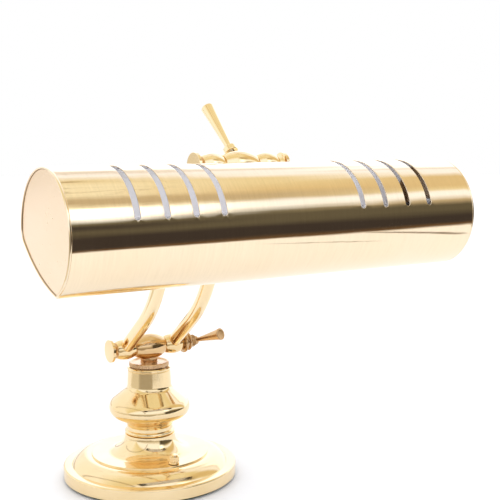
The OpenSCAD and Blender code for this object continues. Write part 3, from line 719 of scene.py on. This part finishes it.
def shell():
    """The rolled sheet: two smooth skins joined by softened edges at the lips, the ends and every slot.

    The outer skin's faces come first, then as many of the inner one's.
    """
    r = SHADE_R / MM
    slots = [side * (SLOT_FIRST + SLOT_PITCH * i) for side in (-1, 1) for i in range(4)]
    soft = 0.18
    rim = [(soft, r), (soft * 0.35, r - soft * 0.3), (0, r - soft), (0, r - SHEET / MM + soft),
           (soft * 0.35, r - SHEET / MM + soft * 0.3), (soft, r - SHEET / MM)]
    loops = [lambda d: sheet_outline(d)] + [lambda d, x=x: slot_outline(x, d) for x in slots]
    flat = []
    edges = []
    spans = []
    for loop in loops:
        points = loop(soft)
        start = len(flat)
        flat += points
        spans.append((start, len(points)))
        edges += [(start + i, start + (i + 1) % len(points)) for i in range(len(points))]
    low, high = math.radians(BACK_LIP) * r, math.radians(FRONT_LIP) * r
    half = SHADE_HALF / MM
    slot_low, slot_high = math.radians(SLOT_TOP) * r, math.radians(SLOT_FRONT) * r
    for x in np.linspace(-half, half, 61)[1:-1]:
        by_slot = any(abs(x - c) <= SLOT_W / 2 + 1.2 for c in slots)
        for s in np.linspace(low, high, 129)[1:-1]:
            if not (by_slot and slot_low - 4 < s < slot_high + 4):
                flat.append((float(x), float(s)))
    verts2d, _, tris, _, _, _ = delaunay_2d_cdt([Vector(p) for p in flat], edges, [], 0, 1e-6)

    def inside(p):
        for c in slots:
            x, s = p[0] - c, p[1]
            near = min(max(s, slot_low), slot_high)
            if math.hypot(x, s - near) < SLOT_W / 2 + soft * 0.9:
                return True
        return False

    kept = [t for t in tris if not inside(sum((Vector(verts2d[i]) for i in t), Vector((0, 0))) / 3)]

    def rolled(x, s, radius):
        a = s / r
        return Vector((x * MM, radius * MM * math.cos(a), radius * MM * math.sin(a))) + SHADE

    verts, faces = [], []
    for radius, flip in ((r, True), (r - SHEET / MM, False)):
        base = len(verts)
        verts += [rolled(p[0], p[1], radius) for p in verts2d]
        faces += [tuple(base + i for i in (reversed(t) if flip else t)) for t in kept]
    for number, loop in enumerate(loops):
        rows = []
        for shift, radius in rim:
            points = loop(shift)
            rows.append([len(verts) + i for i in range(len(points))])
            verts += [rolled(p[0], p[1], radius) for p in points]
        n = len(rows[0])
        for a, b in zip(rows, rows[1:]):
            for i in range(n):
                j = (i + 1) % n
                quad = (a[i], a[j], b[j], b[i])
                faces.append(quad if number else tuple(reversed(quad)))
    return verts, faces, len(kept)


def weld(obj, distance):
    """Joins vertices that coincide, then renews the weighted normals."""
    mesh = obj.data
    bm = bmesh.new()
    bm.from_mesh(mesh)
    bmesh.ops.remove_doubles(bm, verts=bm.verts, dist=distance)
    bmesh.ops.recalc_face_normals(bm, faces=bm.faces)
    bm.to_mesh(mesh)
    bm.free()
    mesh.update()
    soften(mesh)


shell_verts, shell_faces, skin = shell()
shade_sheet = new_piece("shade_sheet", shell_verts, shell_faces, shade_brass, "shade", ["shade_shell"],
                        "polished_brass")
shade_sheet.data.materials.append(white_enamel)
for face in shade_sheet.data.polygons[skin:2 * skin]:
    face.material_index = 1
weld(shade_sheet, 1e-6)


# ---- end caps ----
def cap_outline():
    """The cap's edge in mm about the shade's axis, as (y, z): the roll, a round back corner and a shallow sole."""
    front = math.radians(245.5)
    a = Vector((45 * math.cos(front), 45 * math.sin(front)))
    b = Vector((31 + 14 * math.cos(math.radians(-41)), 14 * math.sin(math.radians(-41))))
    way = (b - a).normalized()
    centre = (a + b) / 2 + Vector((-way.y, way.x)) * math.sqrt(125 ** 2 - ((b - a).length / 2) ** 2)
    start, end = (math.degrees(math.atan2(p.y - centre.y, p.x - centre.x)) for p in (b, a))
    roll = arc((0, 0), 45, 245.5, 0, 120)
    corner = arc((31, 0), 14, 0, -41, 16)
    sole = arc(centre, 125, start, end, 30)
    return roll[:-1] + corner[:-1] + sole[:-1]


def end_cap(side):
    """A spun cap: a small round bead on its edge, a fine groove, and a barely domed face."""
    outline = [Vector(p) for p in cap_outline()]
    n = len(outline)
    inward = []
    for i, point in enumerate(outline):
        along = (outline[(i + 1) % n] - outline[i - 1]).normalized()
        normal = Vector((along.y, -along.x))
        inward.append(normal if normal.dot(Vector((4, -2)) - point) > 0 else -normal)
    profile = [(1.4, -2.0), (0.5, -2.0), (0.0, -1.9), (0.0, -1.0), (0.08, -0.55), (0.32, -0.2), (0.7, -0.05),
               (1.05, -0.2), (1.25, -0.6), (1.34, -1.25), (1.5, -1.3), (1.62, -1.0), (1.9, -0.95), (2.6, -0.93)]
    verts, faces = [], []
    for inset, depth in profile:
        verts += [(SHADE_HALF / MM + 2 + depth, *(p + m * inset)) for p, m in zip(outline, inward)]
    rows = len(profile)
    middle_point = Vector((2, -2))
    for t in (0.9, 0.75, 0.55, 0.35, 0.15):
        rise = -0.93 + 0.45 * (1 - t * t)
        ring = [middle_point + (p + m * 2.6 - middle_point) * t for p, m in zip(outline, inward)]
        verts += [(SHADE_HALF / MM + 2 + rise, *p) for p in ring]
        rows += 1
    for k in range(rows - 1):
        for i in range(n):
            j = (i + 1) % n
            faces.append((k * n + i, k * n + j, (k + 1) * n + j, (k + 1) * n + i))
    last = len(verts)
    verts.append((SHADE_HALF / MM + 2 - 0.48, *middle_point))
    faces += [((rows - 1) * n + i, (rows - 1) * n + (i + 1) % n, last) for i in range(n)]
    back = len(verts)
    for t in (0.8, 0.4):
        ring = [middle_point + (p + m * 1.4 - middle_point) * t for p, m in zip(outline, inward)]
        verts += [(SHADE_HALF / MM, *p) for p in ring]
    centre = len(verts)
    verts.append((SHADE_HALF / MM, *middle_point))
    for low, high in ((0, back), (back, back + n)):
        faces += [(low + (i + 1) % n, low + i, high + i, high + (i + 1) % n) for i in range(n)]
    faces += [(back + n + (i + 1) % n, back + n + i, centre) for i in range(n)]
    flange_at = len(verts)
    turns = np.radians(np.linspace(-1, 245, 90))
    section = [(44.1, 0.3), (44.1, -7.8), (43.9, -8.0), (43.4, -8.0), (43.2, -7.8), (43.2, 0.3)]
    for a in turns:
        verts += [(SHADE_HALF / MM + x, r * math.cos(a), r * math.sin(a)) for r, x in section]
    m = len(section)
    for k in range(len(turns) - 1):
        here, onward = flange_at + k * m, flange_at + (k + 1) * m
        for i in range(m):
            j = (i + 1) % m
            faces.append((here + i, here + j, onward + j, onward + i))
    far_end = flange_at + (len(turns) - 1) * m
    faces += [tuple(range(flange_at, flange_at + m)), tuple(range(far_end, far_end + m))]
    verts = [SHADE + Vector((side * x, y, z)) * MM for x, y, z in verts]
    return verts, faces


for name, side in (("left", -1), ("right", 1)):
    cap = new_piece(f"end_cap_{name}_spun", *end_cap(side), satin_brass, "shade", [f"end_cap_{name}"],
                    "satin_brass")
    cap.data.materials.append(painted_shade_brass)
    cap.data.materials.append(shade_brass)
    around = len(cap_outline())
    for face in cap.data.polygons:
        ring = face.index // around
        if 2 <= ring <= 6:
            face.material_index = 2
        # Painted shade: the groove beside the bead, and the cap's back and flange inside the shade, take the dark
        # brass.
        elif 8 <= ring <= 10 or abs(face.center.x) < SHADE_HALF + 0.05 * MM:
            face.material_index = 1
    weld(cap, 1e-6)


# ---- CAD nodes that stay, with their finish ----
KEPT = {
    "foot_weight": cast_iron, "base_pad": green_felt, "tie_rod": zinc_steel, "tie_washer": zinc_steel,
    "tie_nut": zinc_steel, "swivel_bush": dull_brass, "cord_bushing": black_plastic, "base_lead": black_lead,
    "switch_body": black_plastic, "arm_lead": black_lead, "boss_screws": zinc_steel, "reflector": white_enamel,
    "holder_bracket_left": zinc_steel, "holder_bracket_right": zinc_steel,
    "lampholder_left": black_plastic, "lampholder_right": black_plastic,
    "lamp_cap_left": zinc_steel, "lamp_cap_right": zinc_steel, "lamp_glass_left": frosted_glass,
    "lamp_glass_right": frosted_glass, "shade_lead": white_lead, "upper_screw": zinc_steel,
}
for node, finish in KEPT.items():
    obj = frame["nodes"][node]
    for index in range(max(1, len(obj.material_slots))):
        if obj.material_slots:
            obj.material_slots[index].material = finish
        else:
            obj.data.materials.append(finish)


# ---- studio ----
def floor():
    """A pale table top that ends in front of the lamp, with a cut-out on its left.

    It isn't plain: the cut-out is there for what the column's neck mirrors, and painted reflections, a darker
    right-hand strip and a thin dark line seen by reflections alone, imitate what the photograph's brass mirrors.
    """
    mat, tree, shader = material("studio_floor", (0.76, 0.76, 0.77), 0.0, 0.6)
    pale = blend_color(tree, noise(tree, 3, detail=3), (0.76, 0.76, 0.77), (0.775, 0.775, 0.785))
    coords = add(tree, "ShaderNodeTexCoord")
    split = add(tree, "ShaderNodeSeparateXYZ")
    tree.links.new(coords.outputs["Object"], split.inputs[0])
    x, y = split.outputs["X"], split.outputs["Y"]

    def near(value, middle, half, soft):
        gap = calc(tree, calc(tree, value, -middle, "ADD"), 0, "ABSOLUTE")
        return spread(tree, gap, half, half + soft, 1, 0)

    # Painted reflections: a dark brown strip on the right and a thin slanted dark line, shown to glossy rays only.
    edge = calc(tree, near(x, 0.488, 0.009, 0.012), spread(tree, y, -0.47, -0.44, 1, 0))
    slant = calc(tree, y, calc(tree, x, -1.05), "ADD")
    reflected_dark_line = calc(tree, near(slant, -0.806, 0.005, 0.008), near(x, 0.29, 0.03, 0.03))
    painted_reflection_mask = calc(tree, calc(tree, edge, 0.85), calc(tree, reflected_dark_line, 0.8), "ADD")
    glossy = add(tree, "ShaderNodeLightPath").outputs["Is Glossy Ray"]
    # The dark brown here is the painted reflection's colour, laid on the pale floor for glossy rays alone.
    reflection_painted_color = blend_color(tree, calc(tree, painted_reflection_mask, glossy), pale, (0.10, 0.065, 0.03))
    tree.links.new(reflection_painted_color, shader.inputs["Base Color"])
    outline = [(-0.10, -0.69), (5, -0.69), (5, 6), (-5, 6), (-5, 0.35), (-0.33, 0.35), (-0.33, -0.05),
               (-0.25, -0.26), (-0.12, -0.29)]
    mesh = bpy.data.meshes.new("studio_floor")
    mesh.from_pydata([(*p, 0) for p in outline], [], [tuple(range(len(outline)))])
    mesh.materials.append(mat)
    obj = bpy.data.objects.new("studio_floor", mesh)
    bpy.context.scene.collection.objects.link(obj)


floor()


def studio():
    """White to the camera, even pale light on matt surfaces, and bands of colour in reflections.

    This isn't plain studio light: the bands imitate the room that the photograph's brass mirrors. The heights and
    colours of left, mid and right were chosen from colours measured on the photograph's shade. Heights are degrees
    about the shade's axis, and drift from the room's left to its right.
    """
    white, ceiling, rose = (1.15, 1.15, 1.15), (1.12, 1.17, 1.30), (0.90, 0.84, 0.80)
    box, box_side, glare = (2.2, 2.2, 2.2), (1.15, 1.22, 1.35), (1.5, 1.6, 1.8)
    black, ember = (0.052, 0.042, 0.038), (0.17, 0.10, 0.045)
    olive, moss = (0.13, 0.115, 0.08), (0.20, 0.18, 0.12)
    wall, gold, straw, cream = (0.62, 0.52, 0.35), (0.80, 0.65, 0.38), (0.90, 0.80, 0.52), (1.0, 0.95, 0.74)
    brown = (0.34, 0.22, 0.12)
    left = [(-31, white), (-27, ember), (-24, black), (-7, black), (5, olive), (12, black), (19, moss),
            (24, box_side), (30, box), (42, box), (48, cream), (54, wall), (62, wall), (70, cream),
            (92, cream), (104, straw), (118, ceiling), (132, rose), (140, glare)]
    mid = [(-31, white), (-27, ember), (-20, black), (-6, black), (5, olive), (18, olive), (25, moss),
           (34, box_side), (43, box_side), (51, wall), (58, wall), (70, gold), (86, straw), (98, straw),
           (106, ceiling), (121, ceiling), (127, rose), (134, glare)]
    right = [(-30, white), (-26, ember), (-20, black), (-6, black), (8, olive), (20, olive), (29, wall),
             (39, box_side), (46, box_side), (53, straw), (62, gold), (86, gold), (96, ceiling),
             (109, ceiling), (114, rose), (120, glare)]
    dim, haze = (0.46, 0.42, 0.35), (0.80, 0.76, 0.68)
    side = [(-60, haze), (-30, dim), (-4, dim), (6, haze), (16, box_side), (50, box_side), (70, straw),
            (100, cream), (125, white)]

    world = bpy.data.worlds.new("studio")
    bpy.context.scene.world = world
    world.use_nodes = True
    tree = world.node_tree
    tree.nodes.clear()
    coords = add(tree, "ShaderNodeTexCoord").outputs["Generated"]
    split = add(tree, "ShaderNodeSeparateXYZ")
    tree.links.new(coords, split.inputs[0])
    across = split.outputs["X"]
    turn = calc(tree, split.outputs["Z"], calc(tree, split.outputs["Y"], -1), "ARCTAN2")
    ripple = add(tree, "ShaderNodeTexNoise", Scale=7.0, Detail=3.0)
    tree.links.new(coords, ripple.inputs["Vector"])
    turn = calc(tree, turn, spread(tree, ripple.outputs["Fac"], 0.3, 0.7, -0.03, 0.03), "ADD")
    turn = calc(tree, calc(tree, turn, 1 / (2 * math.pi)), 0.5, "ADD")

    def ramp(stops):
        node = add(tree, "ShaderNodeValToRGB")
        elements = node.color_ramp.elements
        while len(elements) < len(stops):
            elements.new(0.5)
        for element, (degrees, color) in zip(elements, stops):
            element.position = degrees / 360 + 0.5
            element.color = (*color, 1)
        tree.links.new(turn, node.inputs["Fac"])
        return node.outputs["Color"]

    room = blend_color(tree, spread(tree, across, 0.40, 0.56, 0, 1), ramp(left), ramp(mid))
    room = blend_color(tree, spread(tree, across, 0.56, 0.69, 0, 1), room, ramp(right))
    room = blend_color(tree, spread(tree, across, 0.34, 0.22, 0, 1), room, ramp(side))

    # A skirting at the back, a beam on the left and hanging cables, seen only as thin dark lines.
    back_wall = spread(tree, split.outputs["Y"], 0.5, 0.55, 0, 0.7)
    back_wall = calc(tree, back_wall, spread(tree, across, -0.3, -0.2, 0, 1))
    skirting = spread(tree, calc(tree, split.outputs["Z"], 0, "ABSOLUTE"), 0.03, 0.06, 1, 0)
    skirting = calc(tree, skirting, calc(tree, back_wall, spread(tree, across, 0.36, 0.42, 1, 0)))
    room = blend_color(tree, skirting, room, brown)
    beam = spread(tree, calc(tree, calc(tree, across, 0.6, "ADD"), 0, "ABSOLUTE"), 0.012, 0.03, 1, 0)
    beam = calc(tree, beam, spread(tree, split.outputs["Z"], 0.2, 0.3, 0, 0.8))
    cable = add(tree, "ShaderNodeTexNoise", Scale=5.5, Detail=1.0)
    tree.links.new(coords, cable.inputs["Vector"])
    thread = calc(tree, calc(tree, cable.outputs["Fac"], -0.5, "ADD"), 0, "ABSOLUTE")
    thread = spread(tree, thread, 0.002, 0.006, 0.7, 0)
    hung = calc(tree, spread(tree, split.outputs["Z"], 0.60, 0.66, 0, 1), spread(tree, across, 0.44, 0.50, 1, 0))
    room = blend_color(tree, beam, room, brown)
    room = blend_color(tree, calc(tree, thread, hung), room, brown)

    path = add(tree, "ShaderNodeLightPath")
    seen = blend_color(tree, path.outputs["Is Camera Ray"], room, (1.0, 1.0, 1.0))
    lit = blend_color(tree, path.outputs["Is Diffuse Ray"], seen, (1.6, 1.6, 1.62))
    back = add(tree, "ShaderNodeBackground")
    tree.links.new(lit, back.inputs["Color"])
    out = add(tree, "ShaderNodeOutputWorld")
    tree.links.new(back.outputs[0], out.inputs["Surface"])


studio()


# ---- camera ----
def camera():
    data = bpy.data.cameras.new("camera")
    data.lens = 70.04
    data.sensor_width = 36
    data.clip_end = 50
    obj = bpy.data.objects.new("camera", data)
    bpy.context.scene.collection.objects.link(obj)
    obj.location = (-0.40984, -0.82394, 0.33182)
    way = Vector((0.53334, 0.83709, -0.12175))
    obj.rotation_euler = way.to_track_quat("-Z", "Y").to_euler()
    bpy.context.scene.camera = obj


camera()
bpy.context.scene.view_settings.view_transform = "Standard"
